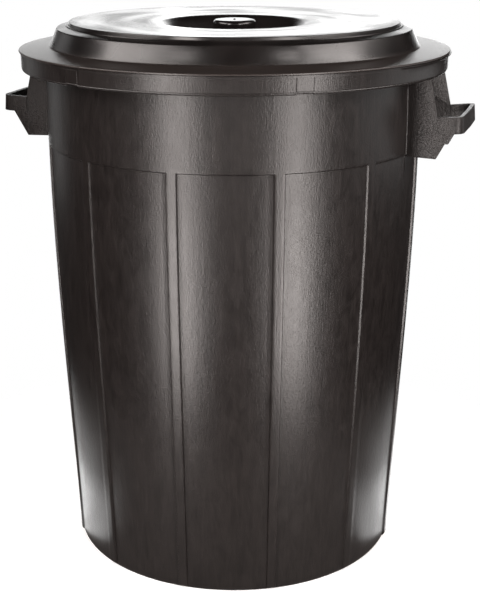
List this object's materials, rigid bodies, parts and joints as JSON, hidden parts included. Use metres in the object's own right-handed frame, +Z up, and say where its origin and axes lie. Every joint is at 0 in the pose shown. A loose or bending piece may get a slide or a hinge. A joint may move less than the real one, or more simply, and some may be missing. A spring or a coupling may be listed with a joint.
{
  "type": "dustbin",
  "caption": "Large round plastic dustbin with ribbed tapering wall, side lift handles and a lift-off lid with a knob in a dish.",
  "frame": {"origin": "centre of the base, on the surface that the bin stands on", "axes": "+Z up along the bin's axis, X through the two handles, -Y towards the viewer"},
  "size_m": [0.6112, 0.5468, 0.6988],
  "materials": {
    "bin_plastic": "charcoal black moulded polypropylene with a fine streaky grain",
    "lid_plastic": "charcoal black moulded polypropylene, smoother and glossier than the bin"
  },
  "bodies": {
    "bin": {"bin_body": "bin_plastic", "bin_rim": "bin_plastic", "handle_left": "bin_plastic", "handle_right": "bin_plastic"},
    "lid": {"lid": "lid_plastic"}
  },
  "joints": [
    {"name": "lid_lift", "type": "slide", "parent": "bin", "child": "lid", "axis": [0, 0, 1], "range_m": [0, 0.3]}
  ]
}
